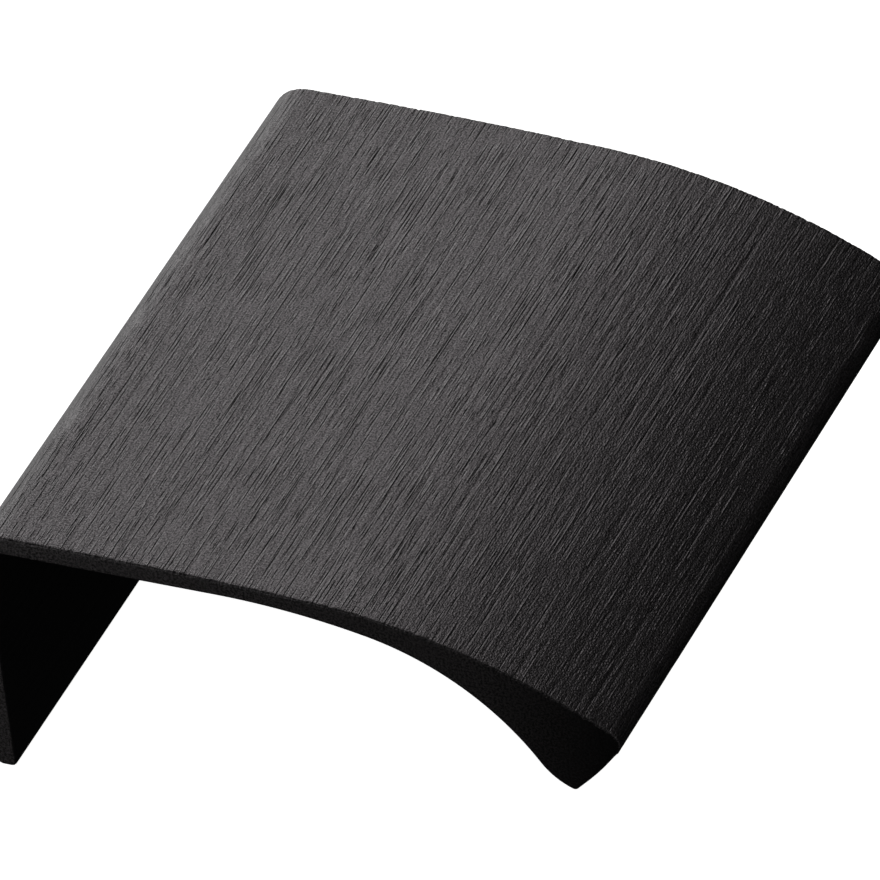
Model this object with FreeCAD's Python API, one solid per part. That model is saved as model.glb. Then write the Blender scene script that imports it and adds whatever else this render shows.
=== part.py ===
import FreeCAD, Part
import math
import os
from FreeCAD import Vector

# Tab pull for the top edge of a drawer front: one length of extruded aluminium.
# X runs from the back of the drawer front out towards the fingers, Y runs along the
# extrusion and Z is up. The origin lies on the front face of the flange, halfway
# between the two screw holes. Millimetres and degrees.

# Length between the two cut ends
pull_length = 50.0

# Plate that lies on the top edge of the drawer front
plate_thickness = 1.4
seat_depth = 16.2
seat_height_over_screws = 8.0

# Flange that is screwed to the back of the drawer front, hanging from the seat
flange_thickness = 1.4
flange_drop = 18.0
flange_edge_radius = 0.4

# Corner between plate and flange
bend_radius = 2.8
root_radius = 1.0

# Top of the plate: level up to crown_start, then two tangent arcs down to the nose
nose_reach = 44.6
nose_fall = 7.37
nose_radius = 1.2
crown_start = 5.0
shoulder_run = 21.7
shoulder_fall = 0.48

# Underside: level over the seat, a hollow for the fingertips, then a small toe that
# turns out to the tip of the lip
lip_setback = 4.05
lip_drop = 10.75
tip_radius = 0.35
cove_run = 13.75
cove_fall = 1.13
toe_length = 2.3
toe_height = 1.8

# Front face of the lip, between nose and tip, swells by this much
front_bulge = 0.15

# Countersunk holes for two screws, with the heads on the back of the flange
screw_count = 2
screw_spacing = 25.0
screw_hole_diameter = 3.4
countersink_diameter = 5.4
countersink_angle = 90.0

# Burr taken off round both cut ends
end_break = 0.12


def at(x, above_seat):
    """Point of the section in the plane of the first cut end, by its height over the seat."""
    return Vector(x, -pull_length / 2, seat_height_over_screws + above_seat)


def line(start, end):
    """Straight edge between two points of the section."""
    return Part.LineSegment(start, end).toShape()


def bulging_arc(start, end, bulge):
    """Arc between two points whose middle stands out by bulge, to the left of the way."""
    chord = end - start
    left = Vector(-chord.z, 0, chord.x).normalize()
    middle = (start + end) * 0.5 + left * bulge
    return Part.Arc(start, middle, end).toShape()


def tangent_arc(start, slope, end):
    """Arc that leaves start at slope, in radians above +X, and ends in end.

    An arc turns by twice the angle between its first direction and its chord, and its
    middle stands off the chord by half the chord times the tangent of a quarter turn.
    The slope at the end comes back too, for the next arc.
    """
    chord = end - start
    turn = 2 * (math.atan2(chord.z, chord.x) - slope)
    bulge = -chord.Length / 2 * math.tan(turn / 4)
    return bulging_arc(start, end, bulge), slope + turn


def section():
    """Closed outline of the extrusion, and the corners on it with their radii."""
    level = 0.0
    flange_back = at(-flange_thickness, -flange_drop)
    flange_front = at(0, -flange_drop)
    root = at(0, 0)
    bend = at(-flange_thickness, plate_thickness)
    nose = at(nose_reach, plate_thickness - nose_fall)
    shoulder = at(nose_reach - shoulder_run, plate_thickness - shoulder_fall)
    crown = at(crown_start, plate_thickness)
    tip = at(nose_reach - lip_setback, -lip_drop)
    toe = tip + Vector(-toe_length, 0, toe_height)
    cove = at(tip.x - cove_run, -cove_fall)
    seat_end = at(seat_depth, 0)

    crown_arc, slope = tangent_arc(crown, level, shoulder)
    shoulder_arc, slope = tangent_arc(shoulder, slope, nose)
    lead_arc, slope = tangent_arc(seat_end, level, cove)
    cove_arc, slope = tangent_arc(cove, slope, toe)
    toe_arc, slope = tangent_arc(toe, slope, tip)

    outline = Part.Wire([
        line(flange_back, bend),
        line(bend, crown),
        crown_arc,
        shoulder_arc,
        bulging_arc(nose, tip, front_bulge),
        toe_arc,
        cove_arc,
        lead_arc,
        line(seat_end, root),
        line(root, flange_front),
        line(flange_front, flange_back),
    ])
    corners = [
        (bend, bend_radius),
        (root, root_radius),
        (nose, nose_radius),
        (tip, tip_radius),
        (flange_back, flange_edge_radius),
        (flange_front, flange_edge_radius),
    ]
    return outline, corners


def corner_edge(solid, corner):
    """The long edge of the extrusion that starts in this corner of the section."""
    for edge in solid.Edges:
        first = edge.Vertexes[0].Point
        last = edge.Vertexes[-1].Point
        along = abs(abs(last.y - first.y) - pull_length) < 0.001
        if along and math.hypot(first.x - corner.x, first.z - corner.z) < 0.001:
            return edge
    raise ValueError("no long edge starts in this corner of the section")


def extrusion():
    """The section pushed along the length, with each corner rounded by its own radius."""
    outline, corners = section()
    solid = Part.Face(outline).extrude(Vector(0, pull_length, 0))
    for corner, radius in corners:
        solid = solid.makeFillet(radius, [corner_edge(solid, corner)])
    return solid


def break_ends(solid):
    """Takes the burr off the outline of both cut ends."""
    rim = []
    for edge in solid.Edges:
        box = edge.BoundBox
        if box.YLength < 0.001:
            rim.append(edge)
    return solid.makeChamfer(end_break, rim)


def screw_hole(y):
    """Round hole through the flange at y, with its countersink on the back face."""
    outwards = Vector(1, 0, 0)
    back = Vector(-flange_thickness, y, 0)
    radius = screw_hole_diameter / 2
    wide = countersink_diameter / 2
    depth = (wide - radius) / math.tan(math.radians(countersink_angle / 2))
    hole = Part.makeCylinder(radius, flange_thickness * 2, back, outwards)
    sink = Part.makeCone(wide, radius, depth, back, outwards)
    return hole.fuse(sink)


def tab_pull():
    """The finished pull."""
    solid = break_ends(extrusion())
    first = -screw_spacing * (screw_count - 1) / 2
    for number in range(screw_count):
        solid = solid.cut(screw_hole(first + number * screw_spacing))
    return solid


os.makedirs("parts", exist_ok=True)
pull = tab_pull()
pull.exportStep("parts/tab_pull.step")
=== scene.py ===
import math
from collections import namedtuple

import bpy
import numpy as np
from mathutils import Matrix, Vector


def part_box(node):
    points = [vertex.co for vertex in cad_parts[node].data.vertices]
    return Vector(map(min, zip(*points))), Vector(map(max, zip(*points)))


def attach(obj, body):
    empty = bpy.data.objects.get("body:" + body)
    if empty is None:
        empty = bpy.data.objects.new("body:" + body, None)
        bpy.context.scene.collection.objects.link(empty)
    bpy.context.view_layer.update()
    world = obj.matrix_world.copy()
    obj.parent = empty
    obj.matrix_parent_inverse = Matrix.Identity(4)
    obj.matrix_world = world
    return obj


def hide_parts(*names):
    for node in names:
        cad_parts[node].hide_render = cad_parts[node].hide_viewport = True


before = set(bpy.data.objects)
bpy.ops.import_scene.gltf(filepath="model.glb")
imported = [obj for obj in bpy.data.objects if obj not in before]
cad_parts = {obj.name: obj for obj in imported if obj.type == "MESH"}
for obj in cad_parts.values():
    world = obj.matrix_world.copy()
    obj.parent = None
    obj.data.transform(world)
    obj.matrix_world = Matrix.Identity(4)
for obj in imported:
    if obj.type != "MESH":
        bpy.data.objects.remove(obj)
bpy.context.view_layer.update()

# Looks of a tab pull for the top edge of a drawer front: brushed and black anodised.
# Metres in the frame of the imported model: X runs out towards the fingers, Y runs along
# the extrusion, Z is up, and the origin lies between the two screw holes.

bl_info = {
    "name": "Tab Pull",
    "version": (1, 0, 0),
    "blender": (4, 5, 0),
    "location": "View3D > Sidebar > Tab Pull",
    "description": "Builds a brushed, black anodised tab pull and its studio",
    "category": "Add Mesh",
}

NODE_LOW, NODE_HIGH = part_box("tab_pull")
MM = 0.001
SEED = 20
MAP_SIZE = 0.2          # metres of surface to one unit of the piece's texture map


# Sizes and colours

def length(name, default, description, most=0.2):
    """A length in metres, up to the most it may be."""
    return bpy.props.FloatProperty(
        name=name, description=description, default=default, min=0.0, max=most,
        precision=5, unit="LENGTH", subtype="DISTANCE",
    )


def share(name, default, description):
    """A share from 0 to 1."""
    return bpy.props.FloatProperty(
        name=name, description=description, default=default, min=0.0, max=1.0,
        subtype="FACTOR",
    )


def colour(name, default, description):
    """A colour in linear red, green and blue."""
    return bpy.props.FloatVectorProperty(
        name=name, description=description, default=default, size=3,
        min=0.0, max=1.0, subtype="COLOR",
    )


class TabPullSizes(bpy.types.PropertyGroup):
    """Driving sizes of the section, the holes and the brushed grain."""

    pull_length: length(
        "Pull length", NODE_HIGH.y - NODE_LOW.y, "Between the two cut ends")
    seat_height: length(
        "Seat height", 8.0 * MM, "Underside of the plate over the screw holes")
    plate_thickness: length(
        "Plate thickness", 1.4 * MM, "Plate on the top edge of the drawer front")
    seat_depth: length(
        "Seat depth", 16.2 * MM, "Level part of the underside, out from the flange")
    flange_thickness: length(
        "Flange thickness", 1.4 * MM, "Flange that takes the two screws")
    flange_drop: length(
        "Flange drop", 18.0 * MM, "Seat down to the bottom of the flange")
    flange_edge_radius: length(
        "Flange edge radius", 0.4 * MM, "Bottom corners of the flange")
    bend_radius: length(
        "Bend radius", 2.8 * MM, "Outside of the corner between plate and flange")
    root_radius: length(
        "Root radius", 1.0 * MM, "Inside of the corner between plate and flange")
    nose_reach: length(
        "Nose reach", 44.6 * MM, "Flange front out to the corner of the nose")
    nose_fall: length(
        "Nose fall", 7.37 * MM, "Top of the plate down to the corner of the nose")
    nose_radius: length(
        "Nose radius", 1.2 * MM, "Rounding of the nose")
    crown_start: length(
        "Crown start", 5.0 * MM, "Where the level top begins to curve")
    shoulder_run: length(
        "Shoulder run", 21.7 * MM, "Nose back to where the two top arcs meet")
    shoulder_fall: length(
        "Shoulder fall", 0.48 * MM, "Drop of the top where its two arcs meet")
    lip_setback: length(
        "Lip setback", 4.05 * MM, "Nose back to the tip of the lip")
    lip_drop: length(
        "Lip drop", 10.75 * MM, "Seat down to the tip of the lip")
    tip_radius: length(
        "Tip radius", 0.35 * MM, "Rounding of the tip")
    cove_run: length(
        "Cove run", 13.75 * MM, "Tip back to where the two underside arcs meet")
    cove_fall: length(
        "Cove fall", 1.13 * MM, "Seat down to where the two underside arcs meet")
    toe_length: length(
        "Toe length", 2.3 * MM, "Tip back to the start of the toe")
    toe_height: length(
        "Toe height", 1.8 * MM, "Tip up to the start of the toe")
    front_bulge: length(
        "Front bulge", 0.15 * MM, "Swell of the front face between nose and tip")
    screw_spacing: length(
        "Screw spacing", 25.0 * MM, "Between the two screw holes")
    hole_diameter: length(
        "Hole diameter", 3.4 * MM, "Screw holes")
    sink_diameter: length(
        "Countersink diameter", 5.4 * MM, "Countersinks on the back of the flange")
    end_break: length(
        "End break", 0.12 * MM, "Rounding of the outline at both cut ends")
    groove_depth: length(
        "Groove depth", 0.031 * MM, "Largest depth of the brushed grain", most=0.0001)


class TabPullFinish(bpy.types.PropertyGroup):
    """Colours and gloss of the finish and of the studio."""

    brushed: colour(
        "Brushed anodising", (0.0680, 0.0637, 0.0650), "Black over the brushed face")
    plain: colour(
        "Plain anodising", (0.045, 0.044, 0.046), "Black over the unbrushed faces")
    sawn: colour(
        "Sawn anodising", (0.050, 0.046, 0.047), "Black over the two cut ends")
    paper: colour(
        "Studio paper", (1.0, 1.0, 1.0), "Floor and backdrop")
    brushed_roughness: share(
        "Brushed roughness", 0.40, "Roughness of the brushed face")
    plain_roughness: share(
        "Plain roughness", 0.36, "Roughness of the unbrushed faces")
    sawn_roughness: share(
        "Sawn roughness", 0.55, "Roughness of the two cut ends")


# Section of the extrusion

DENSE = 7            # fine columns of the brushed face to each coarse one
ACROSS = 6           # cells through the thickness on a cut end
ROWS = 80            # cells along the length
RIM_STEPS = 4        # steps round the broken edge of a cut end
HOLE_CELLS = 6       # cells from a screw's axis to the side of its square patch
RING = 0.10 * MM     # narrow ring of flat faces just inside each cut end's edge
HOLD = 0.15 * MM     # narrow cell that holds the flat next to a rounding
BELOW_PATCH = 4      # cells of the flange from its hold up to the patch round a hole
ABOVE_PATCH = 3      # cells from that patch up to the other hold

# Coarse cells of the outer legs: edge, flange, bend, level top, crown, shoulder, nose and
# front. The flange has none here, because its cells are laid round the holes.
EDGE_CELLS, BEND_CELLS = 3, 14
OUTER_CELLS = (EDGE_CELLS, None, BEND_CELLS, 8, 36, 44, 8, 8)
BRUSHED_LEGS = (2, 3, 4, 5, 6)
BRUSH_START, BRUSH_END = 2, 8

# Cells of the inner legs after the root: seat, lead and cove. The toe takes the rest.
INNER_CELLS = (30, 21, 24)

# The section as a closed loop of points, and where its parts lie on it
Loop = namedtuple("Loop", "places normals runs keep outer_count outer_coarse inner_count "
                          "brush_start brush_end")


def heading_vectors(headings):
    """Unit vectors along X and Z for headings in radians above +X."""
    return np.stack([np.cos(headings), np.sin(headings)], axis=-1)


def circle_of_arc(start, slope, turn, arc_length):
    """Centre and signed radius of an arc, positive where it turns to the left.

    A point of the arc is the centre plus the radius times (sin, -cos) of its heading.
    """
    radius = arc_length / turn
    return start - radius * np.array([math.sin(slope), -math.cos(slope)]), radius


def tangent_leg(start, slope, end):
    """Turn and length of the arc that leaves start at slope and ends in end.

    An arc turns by twice the angle between its first heading and its chord, and its
    length is the chord times half the turn over the sine of half the turn.
    """
    chord = end - start
    turn = 2 * (math.atan2(chord[1], chord[0]) - slope)
    return turn, np.hypot(*chord) * (turn / 2) / math.sin(turn / 2)


def rolling_round(first, second, near, radius):
    """Centre of a round of this radius inside two arcs, to the right of both.

    It is where two circles meet, about the arcs' centres, each with the arc's signed
    radius plus that of the round. The meeting point nearer to near is the one.
    """
    (c1, r1), (c2, r2) = first, second
    a, b = abs(r1 + radius), abs(r2 + radius)
    gap = c2 - c1
    d = np.hypot(*gap)
    along = (d * d + a * a - b * b) / (2 * d)
    aside = math.sqrt(max(a * a - along * along, 0.0))
    unit = gap / d
    left = np.array([-unit[1], unit[0]])
    both = [c1 + along * unit + side * aside * left for side in (-1, 1)]
    return min(both, key=lambda p: np.hypot(*(p - near)))


def heading_at(circle, centre):
    """Heading of the arc on this circle where the round about centre touches it."""
    c, r = circle
    unit = (centre - c) / np.hypot(*(centre - c)) * np.sign(r)
    return math.atan2(unit[0], -unit[1])


def point(x, z):
    """A point of the section, by its X and its height over the seat."""
    return np.array([x, z])


def legs_of_section(s):
    """Outer and inner run of the section, each as its start, heading and legs.

    A leg is a pair: its length, and the angle that its heading turns over that length.
    Both runs start under the flange and end at the tip. The leg round the tip comes
    last, on its own. Heights are over the seat.
    """
    t, edge = s.plate_thickness, s.flange_edge_radius
    quarter = math.pi / 2
    crown = point(s.crown_start, t)
    shoulder = point(s.nose_reach - s.shoulder_run, t - s.shoulder_fall)
    nose = point(s.nose_reach, t - s.nose_fall)
    tip = point(s.nose_reach - s.lip_setback, -s.lip_drop)
    toe = tip + point(-s.toe_length, s.toe_height)
    cove = point(tip[0] - s.cove_run, -s.cove_fall)
    seat_end = point(s.seat_depth, 0.0)

    crown_turn, crown_run = tangent_leg(crown, 0.0, shoulder)
    top_turn, top_run = tangent_leg(shoulder, crown_turn, nose)
    lead_turn, lead_run = tangent_leg(seat_end, 0.0, cove)
    cove_turn, cove_run = tangent_leg(cove, lead_turn, toe)
    toe_slope = lead_turn + cove_turn
    toe_turn, toe_run = tangent_leg(toe, toe_slope, tip)

    # The front face swells by the bulge, so its arc turns by four times the angle whose
    # tangent is the bulge over half the chord.
    chord = tip - nose
    half = np.hypot(*chord) / 2
    front_turn = -4 * math.atan(s.front_bulge / half)
    front_run = half * front_turn / math.sin(front_turn / 2)
    front_slope = math.atan2(chord[1], chord[0]) - front_turn / 2

    top_circle = circle_of_arc(shoulder, crown_turn, top_turn, top_run)
    front_circle = circle_of_arc(nose, front_slope, front_turn, front_run)
    toe_circle = circle_of_arc(toe, toe_slope, toe_turn, toe_run)
    back_along_toe = (toe_circle[0], -toe_circle[1])

    nose_centre = rolling_round(top_circle, front_circle, nose, s.nose_radius)
    tip_centre = rolling_round(front_circle, back_along_toe, tip, s.tip_radius)
    on_top = heading_at(top_circle, nose_centre)
    on_front = heading_at(front_circle, nose_centre)
    off_front = heading_at(front_circle, tip_centre)
    on_toe = heading_at(back_along_toe, tip_centre)
    toe_end = on_toe + math.pi
    toe_end -= 2 * math.pi * round((toe_end - toe_slope) / (2 * math.pi))
    tip_turn = (on_toe - off_front) % (2 * math.pi) - 2 * math.pi

    flange_run = s.flange_drop - edge
    outer = [
        (edge * quarter, -quarter),
        (flange_run + t - s.bend_radius, 0.0),
        (s.bend_radius * quarter, -quarter),
        (s.crown_start - s.bend_radius + s.flange_thickness, 0.0),
        (crown_run, crown_turn),
        (top_run * (on_top - crown_turn) / top_turn, on_top - crown_turn),
        (s.nose_radius * (on_top - on_front), on_front - on_top),
        (front_run * (off_front - on_front) / front_turn, off_front - on_front),
    ]
    inner = [
        (edge * quarter, quarter),
        (flange_run - s.root_radius, 0.0),
        (s.root_radius * quarter, -quarter),
        (s.seat_depth - s.root_radius, 0.0),
        (lead_run, lead_turn),
        (cove_run, cove_turn),
        (toe_run * (toe_end - toe_slope) / toe_turn, toe_end - toe_slope),
    ]
    start_outer = point(edge - s.flange_thickness, -s.flange_drop)
    start_inner = point(-edge, -s.flange_drop)
    tip_leg = (s.tip_radius * abs(tip_turn), tip_turn)
    return (start_outer, math.pi, outer), (start_inner, 0.0, inner), tip_leg


def walk(start, heading, legs, shares):
    """Points, headings and run so far along legs, at shares of each leg.

    Within a leg the heading is its first heading plus the turn times the share t. The
    place is the start plus the integral of the heading's unit vector: straight on for
    a leg that doesn't turn, and length over turn times (sin h - sin h0, cos h0 - cos h)
    for one that does.
    """
    places, headings, runs = [], [], []
    place, run = start, 0.0
    for (leg_length, turn), t in zip(legs, shares):
        t = np.append(t, 1.0)
        h = heading + turn * t
        if abs(turn) < 1e-9:
            step = leg_length * t[:, None] * heading_vectors(h)
        else:
            step = leg_length / turn * np.stack(
                [np.sin(h) - math.sin(heading), math.cos(heading) - np.cos(h)], axis=-1)
        places.append(place + step[:-1])
        headings.append(h[:-1])
        runs.append(run + leg_length * t[:-1])
        place, heading, run = place + step[-1], h[-1], run + leg_length
    return np.concatenate(places), np.concatenate(headings), np.concatenate(runs)


def end_of(start, heading, legs):
    """Place and heading at the end of a run of legs."""
    shares = [np.array([1.0]) for _ in legs]
    places, headings, _ = walk(start, heading, legs, shares)
    return places[-1], headings[-1]


def even(cells, last=False):
    """Shares of a leg cut into even cells, without its end unless it is the last leg."""
    return np.linspace(0, 1, cells + 1)[: cells + 1 if last else cells]


def flange_shares(s, leg_length):
    """Shares of a flange leg, with even cells over the square patch round a hole.

    A short cell holds the flat next to the rounding at each end, and larger cells fill
    the flange between a hold and the patch.
    """
    patch = HOLE_CELLS * s.pull_length / ROWS
    screw = s.flange_drop - s.flange_edge_radius - s.seat_height
    grid = screw + np.linspace(-patch, patch, 2 * HOLE_CELLS + 1)
    low = np.linspace(HOLD, grid[0], BELOW_PATCH + 1)[:-1]
    high = np.linspace(grid[-1], leg_length - HOLD, ABOVE_PATCH + 1)[1:]
    return np.concatenate([[0.0], low, grid, high]) / leg_length


def section_loop(s):
    """The whole outline of the section, with the body on its right-hand side.

    The loop goes up the back of the flange, over the top to the nose and the tip, back
    along the underside and down the inside of the flange. keep lists the points that
    the coarse cells of the cut ends use, and runs is the length gone at each point.
    """
    outer, inner, tip_leg = legs_of_section(s)
    outer_shares, outer_kept = [], []
    for leg, (count, (leg_length, _)) in enumerate(zip(OUTER_CELLS, outer[2])):
        fine = DENSE if leg in BRUSHED_LEGS else 1
        t = even(count * fine) if count else flange_shares(s, leg_length)
        outer_shares.append(t)
        outer_kept.append(np.arange(len(t)) % fine == 0)
    p, h, _ = walk(*outer, outer_shares)
    tip_p, tip_h, _ = walk(*end_of(*outer), [tip_leg], [even(ACROSS, last=True)])

    # The inner run has as many cells as the outer run has coarse ones
    inner_flange = flange_shares(s, inner[2][1][0])
    cells = sum(int(kept.sum()) for kept in outer_kept)
    toe_cells = cells - EDGE_CELLS - len(inner_flange) - BEND_CELLS - sum(INNER_CELLS)
    inner_shares = [even(EDGE_CELLS), inner_flange, even(BEND_CELLS)]
    inner_shares += [even(n) for n in (*INNER_CELLS, toe_cells)]
    q, g, _ = walk(*inner, inner_shares)

    base_p = np.linspace(inner[0], outer[0], ACROSS + 1)[:-1]
    base_h = np.full(ACROSS, math.pi)
    places = np.concatenate([p, tip_p, q[:0:-1], base_p])
    headings = np.concatenate([h, tip_h, g[:0:-1] + math.pi, base_h])
    kept = np.concatenate(outer_kept + [np.ones(len(places) - len(p), bool)])
    gaps = np.hypot(*np.diff(np.vstack([places, places[:1]]), axis=0).T)
    legs = np.concatenate([[0.0], np.cumsum([leg[0] for leg in outer[2]])])
    return Loop(
        places=places + np.array([0.0, s.seat_height]),
        normals=np.stack([-np.sin(headings), np.cos(headings)], axis=-1),
        runs=np.concatenate([[0.0], np.cumsum(gaps)]),
        keep=np.flatnonzero(kept),
        outer_count=len(p),
        outer_coarse=cells,
        inner_count=len(q),
        brush_start=legs[BRUSH_START],
        brush_end=legs[BRUSH_END],
    )


# Strokes of the brush

# Strokes cut into the mesh: width in columns, length in rows, how many of the cells start
# one, and how deep it is against the others
CUT_STROKES = (
    (0.75, 3, 0.030, 0.45),
    (0.75, 5, 0.022, 0.50),
    (0.80, 9, 0.010, 0.60),
    (0.85, 18, 0.0035, 0.70),
    (0.90, 40, 0.0012, 0.80),
)
FADE_IN = 1.2 * MM      # run of the bend over which the strokes grow to full depth
FADE_OUT = 1.0 * MM     # run of the front over which they end
OVER_EDGE = 1.6         # how much deeper they go where they run out over a cut end's edge
BURR = 0.30             # share of the end break that the uneven burr moves it by
BURR_RANGE = (-0.9, 1.6)


def strokes(rng, columns, rows, width, reach, density):
    """Grooves of one length: random pricks smeared along the rows by a smooth window.

    A prick has an exponential random depth. The window is a raised cosine reach rows
    long and a bell width columns wide, applied as a product of Fourier transforms.
    """
    pricks = rng.random((columns, rows)) < density
    depth = pricks * rng.exponential(1.0, (columns, rows))
    i = np.minimum(np.arange(columns), columns - np.arange(columns))
    j = np.minimum(np.arange(rows), rows - np.arange(rows))
    bell = np.exp(-0.5 * (i / width) ** 2)
    window = np.where(j <= reach / 2, 0.5 + 0.5 * np.cos(2 * np.pi * j / reach), 0.0)
    kernel = np.fft.rfft2(bell[:, None] * window[None, :])
    return np.fft.irfft2(np.fft.rfft2(depth) * kernel, s=depth.shape)


def brushed_relief(columns, rows, depth):
    """Depth of the brushed grain at each column and row, in metres, never under zero.

    It adds up strokes of five lengths and softens the sum towards a largest depth, so
    that crossing strokes don't pile up: depth times 1 - exp(-sum).
    """
    rng = np.random.default_rng(SEED)
    total = np.zeros((columns, rows))
    for width, reach, density, weight in CUT_STROKES:
        total += weight * strokes(rng, columns, rows, width, reach, density)
    return depth * (1 - np.exp(-total))


def uneven_burr(columns):
    """How far each column's burr stands from the mean, one row for each cut end."""
    rng = np.random.default_rng(SEED + 1)
    rows, ends = 8, [0, 4]
    bite = strokes(rng, columns, rows, width=0.8, reach=2, density=0.35)[:, ends].T
    return np.clip(bite - bite.mean(), *BURR_RANGE)


# Mesh of the pull

BRUSHED, PLAIN, SAWN, DRILLED = range(4)        # order of the piece's materials
SOFT = 0.06 * MM                                # rounding at the edges of a hole
LAP = 0.2 * MM                                  # flange brushed along with the bend
END_HOLD = 2.4          # end breaks from a cut end to the row that holds the skin straight
HOLE_RINGS = (0.35, 0.7, 0.95, 1.0)             # shares of the way from square to circle
END_MAP_START = np.array([0.1, 0.5])            # place of the near cut end on the map
END_MAP_STEP = np.array([0.4, 0.0])             # from there to the far one


def grid_quads(grid):
    """The four corners of every cell of a grid, of vertex numbers or of places."""
    return np.stack([grid[:-1, :-1], grid[1:, :-1], grid[1:, 1:], grid[:-1, 1:]], axis=2)


def ring_quads(outer, inner):
    """Quads between two closed rings with as many vertices."""
    return np.stack([outer, np.roll(outer, -1), np.roll(inner, -1), inner], axis=-1)


def fan_between(fine, coarse, keep):
    """Triangles between a fine closed ring and a coarse one inside it.

    keep says which fine vertex each coarse vertex stands for. A fine side joins the
    nearer end of its coarse side, and one more triangle closes each coarse side.
    """
    count = len(fine)
    side = np.searchsorted(keep, np.arange(count), side="right") - 1
    steps = np.diff(np.append(keep, count))
    offset = np.arange(count) - keep[side]
    far = offset >= steps[side] // 2
    nxt = (side + far) % len(coarse)
    rim = np.stack([fine, np.roll(fine, -1), coarse[nxt]], axis=-1)
    middle = fine[(keep + steps // 2) % count]
    inner = np.stack([middle, np.roll(coarse, -1), coarse], axis=-1)
    return np.concatenate([rim, inner])


def skin_stations(s, loop, brushed):
    """Place along Y and inset of each point of the loop, at each station along Y.

    Between the ends the inset is the brushed grain. Near a cut end the loop moves
    inwards by e (1 - cos a) while y moves on by e sin a, for a from 0 to a right angle,
    where e is the end break, uneven where the strokes run out over it.
    """
    half = s.pull_length / 2
    y_even = np.linspace(-half, half, ROWS + 1)[1:-1]
    y_hold = half - s.end_break * END_HOLD
    y_rows = np.concatenate([[-y_hold], y_even, [y_hold]])

    columns = np.flatnonzero(brushed)
    run = loop.runs[columns]
    fade = np.clip((run - loop.brush_start) / FADE_IN, 0, 1) \
        * np.clip((loop.brush_end - run) / FADE_OUT, 0, 1)
    grain = np.zeros((len(brushed), len(y_rows)))
    grain[columns] = brushed_relief(len(columns), len(y_rows), s.groove_depth) * fade[:, None]

    rim = np.full((2, len(brushed), 1), s.end_break)
    rim[:, columns, 0] *= 1 + BURR * fade * uneven_burr(len(columns))
    turn = np.linspace(0, math.pi / 2, RIM_STEPS)
    rim_y = half - rim + rim * np.sin(turn)
    rim_in = rim * (1 - np.cos(turn)) + OVER_EDGE * np.stack([grain[:, :1], grain[:, -1:]])
    y_grid = np.broadcast_to(y_rows, grain.shape)
    return (np.concatenate([-rim_y[0][:, ::-1], y_grid, rim_y[1]], axis=1),
            np.concatenate([rim_in[0][:, ::-1], grain, rim_in[1]], axis=1))


def hole_patches(s, loop, y_stations):
    """Squares of skin cells that make room for the screw holes.

    Each is a tuple: the hole's y, whether it is on the back, and its first loop point
    and first station.
    """
    back_low = EDGE_CELLS + 1 + BELOW_PATCH
    loop_end = loop.outer_count + ACROSS + loop.inner_count
    front_low = loop_end - back_low - 2 * HOLE_CELLS
    found = []
    for y in (-s.screw_spacing / 2, s.screw_spacing / 2):
        first_station = int(np.argmin(abs(y_stations - y))) - HOLE_CELLS
        found.append((y, True, back_low, first_station))
        found.append((y, False, front_low, first_station))
    return found


def cut_end(s, loop, side, inset, rim, first):
    """Vertices, quads and triangles of one cut end. side is -1 or 1 along Y.

    A fan of narrow triangles joins the skin's last ring, rim, to the coarse outline
    inside it. Straight lines run from the outer side of the outline to the inner one.
    The first and the last line bend to the flange's foot and to the tip, and the lines
    next to them follow, less and less. first is the first vertex number.
    """
    flat = loop.places[loop.keep] - (inset[loop.keep] + RING)[:, None] * loop.normals[loop.keep]
    foot = len(loop.keep) - ACROSS
    tip_row = flat[loop.outer_coarse:loop.outer_coarse + ACROSS + 1]
    foot_row = np.vstack([flat[:1], flat[:foot - 1:-1]])
    outer = np.vstack([flat[:loop.outer_coarse], tip_row[:1]])
    inner = flat[loop.outer_coarse + ACROSS:foot + 1][::-1]
    t = np.linspace(0, 1, ACROSS + 1)[None, :, None]
    grid = outer[:, None] * (1 - t) + inner[:, None] * t
    near = np.exp(-np.arange(len(outer)) / 2.0)[:, None, None]
    grid = grid + near * (foot_row - grid[0]) + near[::-1] * (tip_row - grid[-1])

    lines = np.empty(grid.shape[:2] + (3,))
    lines[..., [0, 2]] = grid
    lines[..., 1] = side * s.pull_length / 2
    at = first + np.arange(lines[..., 0].size).reshape(grid.shape[:2])
    outline = np.concatenate([at[:-1, 0], at[-1], at[-2:0:-1, -1], at[0, :0:-1]])
    fan = fan_between(rim, outline, loop.keep)
    cells = grid_quads(at).reshape(-1, 4)
    if side < 0:
        fan, cells = fan[:, ::-1], cells[:, ::-1]
    return lines.reshape(-1, 3), cells, fan


def rings_at(x, y, around):
    """Ring of vertices in the plane at x, round the point at y, from offsets along Y and Z."""
    return np.stack([np.full(len(around), x), y + around[:, 0], around[:, 1]], axis=-1)


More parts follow.
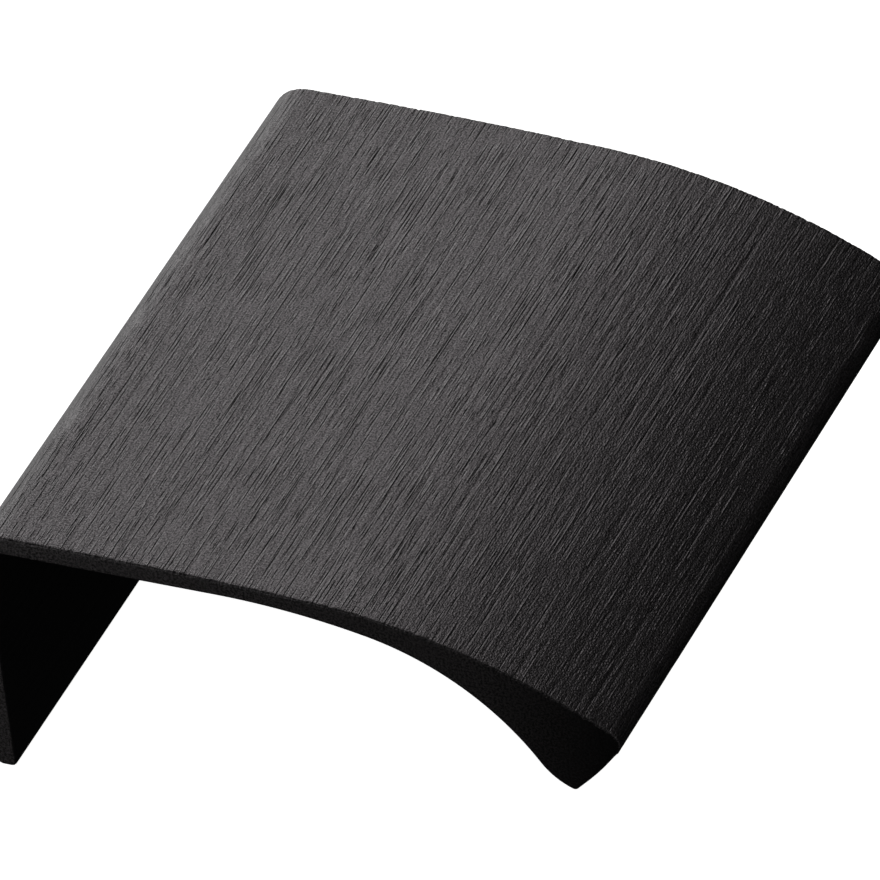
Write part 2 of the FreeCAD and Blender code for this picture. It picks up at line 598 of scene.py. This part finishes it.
def screw_hole(s, y, borders, points, first):
    """Vertices, quads and their materials of one screw hole at y.

    borders holds the vertex numbers round the square patch, on the back and in front.
    On each face the square turns into the hole's circle: square times 1 - t plus circle
    times t. Between the circles lie the countersink and the bore, with soft edges.
    """
    radius, wide = s.hole_diameter / 2, s.sink_diameter / 2
    sink_depth = wide - radius
    back = -s.flange_thickness
    vertices, quads, kinds, circles = [], [], [], []

    def add_ring(x, offsets, previous, kind):
        numbers = first + sum(len(v) for v in vertices) + np.arange(len(offsets))
        vertices.append(rings_at(x, y, offsets))
        quads.append(ring_quads(previous, numbers))
        kinds.append(np.full(len(offsets), kind))
        return numbers

    for x, border, edge in zip((back, 0.0), borders, (wide + SOFT, radius + SOFT)):
        square = points[border][:, 1:] - [y, 0.0]
        angle = np.arctan2(square[:, 1], square[:, 0])
        circle = heading_vectors(angle)
        ring = border
        for t in HOLE_RINGS:
            ring = add_ring(x, square * (1 - t) + circle * edge * t, ring, PLAIN)
        circles.append((ring, angle))

    (ring, angle), (goal, goal_angle) = circles
    apart = np.angle(np.exp(1j * (angle[:, None] - goal_angle[None, :])))
    goal = goal[np.argmin(abs(apart), axis=1)]
    for x, r in (
        (back + 0.3 * SOFT, wide + 0.3 * SOFT),
        (back + SOFT, wide - 0.6 * SOFT),
        (back + sink_depth - SOFT, radius + SOFT),
        (back + sink_depth, radius + 0.3 * SOFT),
        (back + sink_depth + SOFT, radius),
        (-SOFT, radius),
        (-0.3 * SOFT, radius + 0.3 * SOFT),
    ):
        ring = add_ring(x, r * heading_vectors(angle), ring, DRILLED)
    quads.append(ring_quads(ring, goal))
    kinds.append(np.full(len(ring), DRILLED))
    return np.concatenate(vertices), np.concatenate(quads), np.concatenate(kinds)


def end_map(corners):
    """Texture places on a cut end: X and Z over the map's size, each end beside the other."""
    return (corners[..., [0, 2]] / MAP_SIZE + END_MAP_START
            + np.where(corners[..., 1:2] > 0, END_MAP_STEP, 0.0))


def hole_map(s, loop, corners, back_low, front_low):
    """Texture places round the holes, going on from the skin: up the back, down the front."""
    height = corners[..., 2]
    climb = np.where(corners[..., 0] < -s.flange_thickness / 2,
                     loop.runs[back_low] + height - loop.places[back_low, 1],
                     loop.runs[front_low] - height + loop.places[front_low, 1])
    return np.stack([climb, corners[..., 1] + s.pull_length / 2], axis=-1) / MAP_SIZE


def pull_mesh(s):
    """Vertices, quads, triangles, face materials and face-corner texture places.

    The skin is the section carried along Y: place (x, z) of the loop, moved inwards
    along its normal by the inset, at each station y. Squares of it are left out round
    the screw holes, and the vertices that no face uses are dropped at the end.
    """
    loop = section_loop(s)
    count = len(loop.places)
    on_outer = np.arange(count) < loop.outer_count
    brushed = (loop.runs[:-1] > loop.brush_start - LAP) & on_outer
    y_all, inset = skin_stations(s, loop, brushed)
    skin = np.empty(y_all.shape + (3,))
    skin[..., [0, 2]] = loop.places[:, None] - inset[..., None] * loop.normals[:, None]
    skin[..., 1] = y_all
    number = np.arange(y_all.size).reshape(y_all.shape)
    points = skin.reshape(-1, 3)

    closed = np.vstack([y_all, y_all[:1]])
    run = np.broadcast_to(loop.runs[:, None], closed.shape)
    skin_map = grid_quads(np.stack([run, closed + s.pull_length / 2], axis=-1) / MAP_SIZE)
    faces = grid_quads(np.vstack([number, number[:1]]))
    face_kinds = np.broadcast_to(np.where(brushed, BRUSHED, PLAIN)[:, None], faces.shape[:2])

    patches = hole_patches(s, loop, y_all[0])
    kept = np.ones(faces.shape[:2], bool)
    borders = {}
    for y, back, low, first_station in patches:
        kept[low:low + 2 * HOLE_CELLS, first_station:first_station + 2 * HOLE_CELLS] = False
        square = number[low:low + 2 * HOLE_CELLS + 1,
                        first_station:first_station + 2 * HOLE_CELLS + 1]
        borders.setdefault(y, []).append(np.concatenate([
            square[:-1, 0], square[-1, :-1], square[:0:-1, -1], square[0, :0:-1]]))
    quads, kinds, maps = [faces[kept]], [face_kinds[kept]], [skin_map[kept]]

    tris = []
    for side, station in ((-1, 0), (1, -1)):
        more, cells, fan = cut_end(
            s, loop, side, inset[:, station], number[:, station], len(points))
        points = np.concatenate([points, more])
        quads.append(cells)
        kinds.append(np.full(len(cells), SAWN))
        maps.append(end_map(points[cells]))
        tris.append(fan)
    back_low, front_low = patches[0][2], patches[1][2]
    for y, sides in borders.items():
        more, cells, cell_kinds = screw_hole(s, y, sides, points, len(points))
        points = np.concatenate([points, more])
        quads.append(cells)
        kinds.append(cell_kinds)
        maps.append(hole_map(s, loop, points[cells], back_low, front_low))

    quads, tris = np.concatenate(quads), np.concatenate(tris)
    kinds.append(np.full(len(tris), SAWN))
    maps.append(end_map(points[tris]))
    used = np.unique(np.concatenate([quads.ravel(), tris.ravel()]))
    new_number = np.zeros(len(points), int)
    new_number[used] = np.arange(len(used))
    uv = np.concatenate([places.reshape(-1, 2) for places in maps])
    return points[used], new_number[quads], new_number[tris], np.concatenate(kinds), uv


def mesh_object(name, points, quads, tris, kinds, uv, materials):
    """Puts computed arrays into a mesh: quads first, then triangles."""
    mesh = bpy.data.meshes.new(name)
    corners = np.concatenate([quads.ravel(), tris.ravel()]).astype(np.int32)
    sizes = np.concatenate([np.full(len(quads), 4), np.full(len(tris), 3)])
    starts = np.concatenate([[0], np.cumsum(sizes)[:-1]]).astype(np.int32)
    mesh.vertices.add(len(points))
    mesh.vertices.foreach_set("co", points.astype(np.float32).ravel())
    mesh.loops.add(len(corners))
    mesh.loops.foreach_set("vertex_index", corners)
    mesh.polygons.add(len(sizes))
    mesh.polygons.foreach_set("loop_start", starts)
    mesh.polygons.foreach_set("material_index", kinds.astype(np.int32))
    mesh.polygons.foreach_set("use_smooth", np.ones(len(sizes), bool))
    layer = mesh.uv_layers.new(name="grain")
    layer.uv.foreach_set("vector", uv.astype(np.float32).ravel())
    for material in materials:
        mesh.materials.append(material)
    mesh.update()
    if mesh.validate():
        raise ValueError("the computed mesh had faces that Blender took out")
    piece = bpy.data.objects.new(name, mesh)
    bpy.context.scene.collection.objects.link(piece)
    return piece


# Materials

CUT_HALF = 0.34         # half the width of a drawn stroke, in cells of its pattern
WIDE_HALF = 0.66        # the same with its shoulders
SHOULDER = 0.45         # height of the shoulders against the depth of the cut
RARE = 0.62             # random number over which a cell holds a drawn stroke
METALLIC = 0.85

# Strokes drawn in the brushed colour and relief: cells to a metre round the section and
# along it, where the pattern starts, and weight
DRAWN_STROKES = (
    ((3900.0, 430.0), None, 0.9),
    ((3900.0, 210.0), (2.5, 6.5, 0.0), 1.1),
    ((3900.0, 95.0), (5.5, 2.5, 0.0), 1.5),
)


class Nodes:
    """Short way to add nodes to a material and to join them."""

    def __init__(self, name):
        self.material = bpy.data.materials.new(name)
        self.material.use_nodes = True
        self.tree = self.material.node_tree
        self.tree.nodes.clear()
        self.output = self.add("OutputMaterial")

    def add(self, kind, inputs=(), **settings):
        node = self.tree.nodes.new("ShaderNode" + kind)
        for key, value in settings.items():
            setattr(node, key, value)
        for key, value in dict(inputs).items():
            self.feed(node.inputs[key], value)
        return node

    def feed(self, socket, value):
        if isinstance(value, bpy.types.NodeSocket):
            self.tree.links.new(value, socket)
        else:
            socket.default_value = value

    def axes(self):
        """The object's own X, Y and Z, in metres."""
        place = self.add("TexCoord").outputs["Object"]
        return self.add("SeparateXYZ", {"Vector": place}).outputs

    def where(self, scale, start=None):
        """Places on the piece times a scale per metre, and where the pattern starts.

        With two numbers it reads the run round the section and the way along it from
        the piece's own texture map, with three the object's own X, Y and Z.
        """
        if len(scale) == 2:
            place = self.add("UVMap", uv_map="grain").outputs["UV"]
            scale = (scale[0] * MAP_SIZE, scale[1] * MAP_SIZE, 1.0)
        else:
            place = self.add("TexCoord").outputs["Object"]
        node = self.add("Mapping", {"Vector": place, "Scale": scale})
        if start is not None:
            node.inputs["Location"].default_value = start
        return node.outputs["Vector"]

    def noise(self, scale, detail=2.0, rough=0.5, start=None):
        """Cloudy noise from 0 to 1. scale is how many clouds there are in a metre."""
        node = self.add("TexNoise", {
            "Vector": self.where(scale, start), "Scale": 1.0, "Detail": detail,
            "Roughness": rough}, noise_dimensions="2D" if len(scale) == 2 else "3D")
        return node.outputs["Fac"]

    def cells(self, scale, start=None, scatter=1.0):
        """Flat cells round scattered points, how many of them there are in a metre."""
        return self.add("TexVoronoi", {
            "Vector": self.where(scale, start), "Scale": 1.0, "Randomness": scatter},
            voronoi_dimensions="2D").outputs

    def dashes(self, scale, rare, start=None):
        """Separate strokes, drawn out along Y: their cut, and their cut with shoulders.

        Each stroke lies in a cell of its own. Where the cell's random number is over
        rare it is a furrow, up to 1 deep, and where the number is under 1 - rare it is a
        ridge, down to -1. Other cells stay empty. The second value also has a low
        shoulder of the other sign on both sides, as metal is thrown up beside a furrow.
        It goes only into the colour: darker in a furrow, partly black dye and partly
        painted shade, and lighter on the shoulders and ridges, a painted highlight.
        """
        cell = self.cells(scale, start, scatter=0.9)
        chance = self.add("SeparateColor", {"Color": cell["Color"]}).outputs[0]
        depth = self.total((self.between(chance, rare, 1.0), 1.0),
                           (self.between(chance, 1.0 - rare, 0.0), -1.0))
        off = cell["Distance"]
        cut = self.between(off, CUT_HALF, 0.0, interpolation="SMOOTHSTEP")
        wide = self.between(off, WIDE_HALF, CUT_HALF, interpolation="SMOOTHSTEP")
        dye_shade_and_sheen = self.total((cut, 1.0 + SHOULDER), (wide, -SHOULDER))
        return self.math("MULTIPLY", depth, cut), self.math("MULTIPLY", depth, dye_shade_and_sheen)

    def math(self, operation, a, b=0.0, c=0.0):
        node = self.add("Math", operation=operation)
        for socket, value in zip(node.inputs, (a, b, c)):
            self.feed(socket, value)
        return node.outputs[0]

    def total(self, *parts):
        """Sum of values, each times its own weight."""
        total = 0.0
        for value, weight in parts:
            total = self.math("MULTIPLY_ADD", value, weight, total)
        return total

    def between(self, value, low, high, to_low=0.0, to_high=1.0, interpolation="LINEAR"):
        """The value carried over from the range low to high to the other range."""
        node = self.add("MapRange", {
            "Value": value, "From Min": low, "From Max": high,
            "To Min": to_low, "To Max": to_high}, interpolation_type=interpolation)
        return node.outputs["Result"]

    def mix(self, share_of_b, a, b):
        """Colour a, and as much of colour b in it as the share says."""
        node = self.add("Mix", data_type="RGBA")
        self.feed(node.inputs[0], share_of_b)
        self.feed(node.inputs[6], a)
        self.feed(node.inputs[7], b)
        return node.outputs[2]

    def bump(self, micrometres):
        """Normal for a height given in micrometres."""
        inputs = {"Height": micrometres, "Distance": 0.001 * MM, "Strength": 1.0}
        return self.add("Bump", inputs).outputs["Normal"]

    def metal(self, base, rough, micrometres, metallic=METALLIC, **more):
        """Anodised aluminium with this colour, roughness and relief, as the output."""
        skin = self.add("BsdfPrincipled", {
            "Base Color": base, "Roughness": rough, "Metallic": metallic,
            "Normal": self.bump(micrometres), **more})
        self.feed(self.output.inputs["Surface"], skin.outputs["BSDF"])
        return self.material


def rgba(tint, factor=1.0):
    """A colour with its alpha, made lighter or darker by the factor."""
    return (tint[0] * factor, tint[1] * factor, tint[2] * factor, 1.0)


def brushed_anodising(finish):
    """Brushed black: hairlines and strokes along Y, calm patches, fine speck, few pits.

    Scales are per metre and relief is in micrometres. Strokes get flatter towards the
    nose, and the speck gets coarser. The colour is darker in furrows and deep strokes,
    partly black dye and partly painted shade, and darker in pits. It is lighter on the
    strokes' shoulders and on ridges, a painted highlight.
    """
    n = Nodes("brushed_black_anodising")
    fine = n.noise((8600.0, 800.0), 1.0, 0.5)
    speck = n.noise((8000.0, 7200.0), 0.0, 0.6)
    calm = n.noise((380.0, 60.0), 1.0, 0.5, (1.3, 4.2, 0.0))
    lively = n.between(calm, 0.40, 0.60, 0.80, 1.10)
    out = n.axes()["X"]
    flatter = n.between(out, 26 * MM, 38 * MM, 1.0, 0.31)
    coarser = n.between(out, 26 * MM, 40 * MM, 1.0, 1.6)

    drawn = [n.dashes(scale, RARE, start) for scale, start, _ in DRAWN_STROKES]
    weights = [weight for _, _, weight in DRAWN_STROKES]
    cut, dye_shade_and_sheen = (n.math("MULTIPLY", n.total(*zip(values, weights)), lively)
                 for values in zip(*drawn))
    furrow = n.math("MULTIPLY", cut, flatter)
    deep, _ = n.dashes((4900.0, 700.0), 0.99, (8.5, 1.5, 0.0))
    pick = n.math("GREATER_THAN", n.noise((300.0, 300.0), 0.0), 0.70)
    hollow = n.cells((700.0, 500.0))["Distance"]
    pit = n.math("MULTIPLY", n.between(hollow, 0.08, 0.03), pick)

    base = n.mix(n.between(speck, 0.25, 0.75), rgba(finish.brushed, 0.40),
                 rgba(finish.brushed, 1.66))
    # Painted highlight: lighter colour on the strokes' shoulders and on ridges
    base = n.mix(n.math("MULTIPLY", dye_shade_and_sheen, -0.32), base, rgba(finish.brushed, 2.4))
    # Painted shade with black dye: darker colour in the furrows and deep strokes, and darker in
    # the pits
    dye_and_hollow_shade = n.total((dye_shade_and_sheen, 0.45), (deep, 2.0), (pit, 0.8))
    base = n.mix(dye_and_hollow_shade, base, rgba(finish.brushed, 0.12))
    rough = n.between(fine, 0.35, 0.65, finish.brushed_roughness + 0.04,
                      finish.brushed_roughness - 0.04)
    grit = n.math("MULTIPLY", speck, coarser)
    relief = n.total((fine, 20.0), (furrow, -58.0), (deep, -90.0), (grit, 20.0), (pit, -12.0))
    tangent = n.add("Tangent", direction_type="UV_MAP", uv_map="grain")
    return n.metal(base, rough, relief, Anisotropic=0.45, Tangent=tangent.outputs["Tangent"])


def plain_anodising(finish):
    """Unbrushed black: faint die lines along Y and a fine etched grain."""
    n = Nodes("plain_black_anodising")
    die = n.noise((2600.0, 12.0), 2.0, 0.5)
    etch = n.noise((9000.0, 9000.0, 9000.0), 1.0, 0.6)
    cloud = n.noise((120.0, 60.0, 120.0), 1.0, 0.5)
    base = n.mix(n.between(die, 0.35, 0.65), rgba(finish.plain, 0.82), rgba(finish.plain, 1.15))
    base = n.mix(n.between(cloud, 0.3, 0.7, 0.0, 0.25), base, rgba(finish.plain, 1.3))
    rough = n.between(etch, 0.3, 0.7, finish.plain_roughness - 0.04,
                      finish.plain_roughness + 0.06)
    return n.metal(base, rough, n.total((die, 12.0), (etch, 4.0)))


def sawn_anodising(finish):
    """Cut ends: fine saw marks and an open, speckled grain, with painted shade that darkens them
    towards the nose.
    """
    n = Nodes("sawn_black_anodising")
    grain = n.noise((6000.0, 6000.0, 6000.0), 2.0, 0.7)
    saw = n.noise((900.0, 900.0, 5000.0), 1.0, 0.5)
    cloud = n.noise((250.0, 250.0, 250.0), 1.0, 0.5)
    base = n.mix(n.between(grain, 0.42, 0.58), rgba(finish.sawn, 0.20), rgba(finish.sawn, 2.1))
    base = n.mix(n.between(cloud, 0.35, 0.65, 0.0, 0.4), base, rgba(finish.sawn, 1.3))
    # Painted shade: the cut end's colour darkens towards the nose, where the light on it falls
    # off
    darker = n.between(n.axes()["X"], 34 * MM, 43 * MM, 0.0, 0.85)
    base = n.mix(darker, base, rgba(finish.sawn, 0.05))
    rough = n.between(grain, 0.3, 0.7, finish.sawn_roughness + 0.08,
                      finish.sawn_roughness - 0.10)
    return n.metal(base, rough, n.total((grain, 45.0), (saw, 10.0)), 0.6)


def drilled_anodising(finish, screw_spacing):
    """Screw holes: rings left by the drill, from the run to the hole's axis and along it."""
    n = Nodes("drilled_black_anodising")
    x, y, up = n.axes()
    off = n.math("SUBTRACT", n.math("ABSOLUTE", y), screw_spacing / 2)
    squares = n.total((n.math("MULTIPLY", off, off), 1.0), (n.math("MULTIPLY", up, up), 1.0))
    ring = n.add("CombineXYZ", {"X": n.math("SQRT", squares), "Y": x})
    turned = n.add("TexNoise", {"Vector": ring.outputs["Vector"], "Scale": 9000.0,
                                "Detail": 2.0}, noise_dimensions="2D").outputs["Fac"]
    base = n.mix(n.between(turned, 0.35, 0.65), rgba(finish.plain, 0.7), rgba(finish.plain, 1.3))
    rough = n.between(turned, 0.3, 0.7, 0.28, 0.42)
    return n.metal(base, rough, n.total((turned, 6.0)))


def studio_paper(finish):
    """Plain white paper, lit evenly from behind as on a light table."""
    n = Nodes("studio_paper")
    fibre = n.noise((400.0, 400.0, 400.0))
    base = n.mix(n.between(fibre, 0.4, 0.6, 0.0, 0.02), rgba(finish.paper), (0.9, 0.9, 0.9, 1.0))
    sheet = n.add("BsdfPrincipled", {
        "Base Color": base, "Roughness": 0.9, "Emission Color": rgba(finish.paper),
        "Emission Strength": 1.0})
    n.feed(n.output.inputs["Surface"], sheet.outputs["BSDF"])
    return n.material


# Studio

FLOOR_RADIUS = 1.6      # level paper round the object
CORNER_RADIUS = 0.3     # rounding from the floor into the dome
DOME_HEIGHT = 1.6       # from the top of that rounding to the crown
FIRST_RING = 0.02
FLOOR_RINGS = 12
CURVE_STEPS = 16
ROUND_STEPS = 64

AIM = Vector((22 * MM, 0.0, 3 * MM))            # what most softboxes face
END_AIM = Vector((4 * MM, NODE_LOW.y, 4 * MM))  # root of the near cut end
FAINT_ROSE = (1.02, 0.99, 1.01)
AIR = (0.003, 0.003, 0.003, 1.0)

LENS = 714.08           # long lens, far away, as in the photograph
SENSOR = 36.0
CAMERA_PLACE = Matrix([
    [0.91468, -0.16941, 0.36696, 0.44042],
    [0.39161, 0.59616, -0.70088, -0.80124],
    [-0.10003, 0.78479, 0.61164, 0.70197],
    [0, 0, 0, 1]])


def studio_sweep(finish):
    """Floor and backdrop as one dome round the object, a profile turned about Z.

    Out to the floor's radius the height is the flange's foot. Then the profile climbs
    on a quarter circle and closes overhead on a quarter ellipse, so every view has the
    same plain ground, and no part of it is too far off for a camera that goes round.
    """
    foot, wall = NODE_LOW.z, FLOOR_RADIUS + CORNER_RADIUS
    spring = foot + CORNER_RADIUS
    turn = np.linspace(0, math.pi / 2, CURVE_STEPS)
    radius = np.concatenate([np.linspace(FIRST_RING, FLOOR_RADIUS, FLOOR_RINGS),
                             FLOOR_RADIUS + CORNER_RADIUS * np.sin(turn)[1:],
                             wall * np.cos(turn)[1:-1]])
    height = np.concatenate([np.full(FLOOR_RINGS, foot),
                             foot + CORNER_RADIUS * (1 - np.cos(turn))[1:],
                             spring + DOME_HEIGHT * np.sin(turn)[1:-1]])
    angle = np.linspace(0, 2 * math.pi, ROUND_STEPS, endpoint=False)
    points = np.empty((len(radius), ROUND_STEPS, 3))
    points[..., :2] = radius[:, None, None] * heading_vectors(angle)
    points[..., 2] = height[:, None]
    number = np.arange(points[..., 0].size).reshape(points.shape[:2])
    quads = grid_quads(np.hstack([number, number[:, :1]])).reshape(-1, 4)

    centre = np.full(ROUND_STEPS, number.size)
    middle = np.stack([centre, number[0], np.roll(number[0], -1)], axis=-1)
    cap = np.stack([centre + 1, np.roll(number[-1], -1), number[-1]], axis=-1)
    tris = np.vstack([middle, cap])
    points = np.vstack([points.reshape(-1, 3), [[0, 0, foot], [0, 0, spring + DOME_HEIGHT]]])
    uv = np.zeros((quads.size + tris.size, 2))
    kinds = np.zeros(len(quads) + len(tris), int)
    sweep = mesh_object("studio_sweep", points, quads, tris, kinds, uv, [studio_paper(finish)])
    sweep.visible_glossy = False
    sweep.visible_diffuse = False
    sweep.visible_shadow = False
    sweep.visible_transmission = False
    return sweep


def softbox(name, azimuth, elevation, wide, high, brightness, distance=0.7, aim=AIM,
            tint=(1.0, 1.0, 1.0)):
    """Area light that faces the object, with its place and spread given as angles.

    Azimuth runs from +Y towards -X, in degrees. wide and high are the angles that the
    light fills as seen from the object. Brightness is what a white card of its own
    would show: the power is pi times the area times the brightness.
    """
    light = bpy.data.lights.new(name, "AREA")
    light.shape = "RECTANGLE"
    light.size = 2 * distance * math.tan(math.radians(wide / 2))
    light.size_y = 2 * distance * math.tan(math.radians(high / 2))
    light.energy = math.pi * light.size * light.size_y * brightness
    light.color = tint
    box = bpy.data.objects.new(name, light)
    bpy.context.scene.collection.objects.link(box)
    a, e = math.radians(azimuth), math.radians(elevation)
    back = Vector((-math.sin(a) * math.cos(e), math.cos(a) * math.cos(e), math.sin(e)))
    box.matrix_world = Matrix.Translation(aim + distance * back) \
        @ back.to_track_quat("Z", "Y").to_matrix().to_4x4()
    box.visible_camera = False
    return box


def studio_camera():
    """Camera at the photograph's viewing angle."""
    lens = bpy.data.cameras.new("camera")
    lens.lens = LENS
    lens.sensor_width = SENSOR
    lens.clip_start = 0.1
    lens.clip_end = 20.0
    camera = bpy.data.objects.new("camera", lens)
    bpy.context.scene.collection.objects.link(camera)
    camera.matrix_world = CAMERA_PLACE
    return camera


# Operators and panel

class TABPULL_OT_pull(bpy.types.Operator):
    """Builds the pull with its brushed face, cut ends and screw holes"""

    bl_idname = "tabpull.pull"
    bl_label = "Build the Pull"

    def execute(self, context):
        sizes = context.scene.tab_pull_sizes
        finish = context.scene.tab_pull_finish
        materials = [
            brushed_anodising(finish), plain_anodising(finish),
            sawn_anodising(finish), drilled_anodising(finish, sizes.screw_spacing)]
        pull = mesh_object("brushed_pull", *pull_mesh(sizes), materials)
        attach(pull, "root")
        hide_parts("tab_pull")
        return {"FINISHED"}


class TABPULL_OT_stage(bpy.types.Operator):
    """Sets up the floor, the soft lights and the camera"""

    bl_idname = "tabpull.stage"
    bl_label = "Set the Stage"

    def execute(self, context):
        scene = context.scene
        studio_sweep(scene.tab_pull_finish)
        softbox("key_softbox", 40, 15, 30, 25, 2.62)
        softbox("upper_softbox", 22, 45, 25, 25, 1.67, tint=FAINT_ROSE)
        softbox("top_softbox", 30, 52, 20, 20, 1.24, tint=FAINT_ROSE)
        softbox("low_card", 45, -12, 40, 30, 0.70)
        softbox("end_card", 140, -4, 40, 30, 1.45, distance=0.09, aim=END_AIM)
        softbox("front_fill", 180, 15, 60, 40, 0.05)
        softbox("right_fill", 270, 2, 50, 30, 0.40)
        softbox("corner_fill", 244, 14, 30, 24, 0.60)
        softbox("left_fill", 92, 12, 40, 26, 0.80)
        softbox("overhead_fill", 0, 89, 44, 44, 0.50)

        world = bpy.data.worlds.new("studio_air")
        world.use_nodes = True
        world.node_tree.nodes["Background"].inputs["Color"].default_value = AIR
        scene.world = world
        scene.camera = studio_camera()
        scene.view_settings.view_transform = "Standard"
        return {"FINISHED"}


class TABPULL_PT_panel(bpy.types.Panel):
    """Sidebar tab with the sizes, the finish and both operators"""

    bl_idname = "TABPULL_PT_panel"
    bl_label = "Tab Pull"
    bl_space_type = "VIEW_3D"
    bl_region_type = "UI"
    bl_category = "Tab Pull"

    def draw(self, context):
        layout = self.layout
        for group in (context.scene.tab_pull_sizes, context.scene.tab_pull_finish):
            box = layout.box()
            for name in group.__annotations__:
                box.prop(group, name)
        layout.operator(TABPULL_OT_pull.bl_idname)
        layout.operator(TABPULL_OT_stage.bl_idname)


CLASSES = (TabPullSizes, TabPullFinish, TABPULL_OT_pull, TABPULL_OT_stage, TABPULL_PT_panel)


def register():
    for cls in CLASSES:
        bpy.utils.register_class(cls)
    bpy.types.Scene.tab_pull_sizes = bpy.props.PointerProperty(type=TabPullSizes)
    bpy.types.Scene.tab_pull_finish = bpy.props.PointerProperty(type=TabPullFinish)


def unregister():
    del bpy.types.Scene.tab_pull_finish
    del bpy.types.Scene.tab_pull_sizes
    for cls in reversed(CLASSES):
        bpy.utils.unregister_class(cls)


def main():
    register()
    bpy.ops.tabpull.pull()
    bpy.ops.tabpull.stage()


if __name__ == "__main__":
    main()
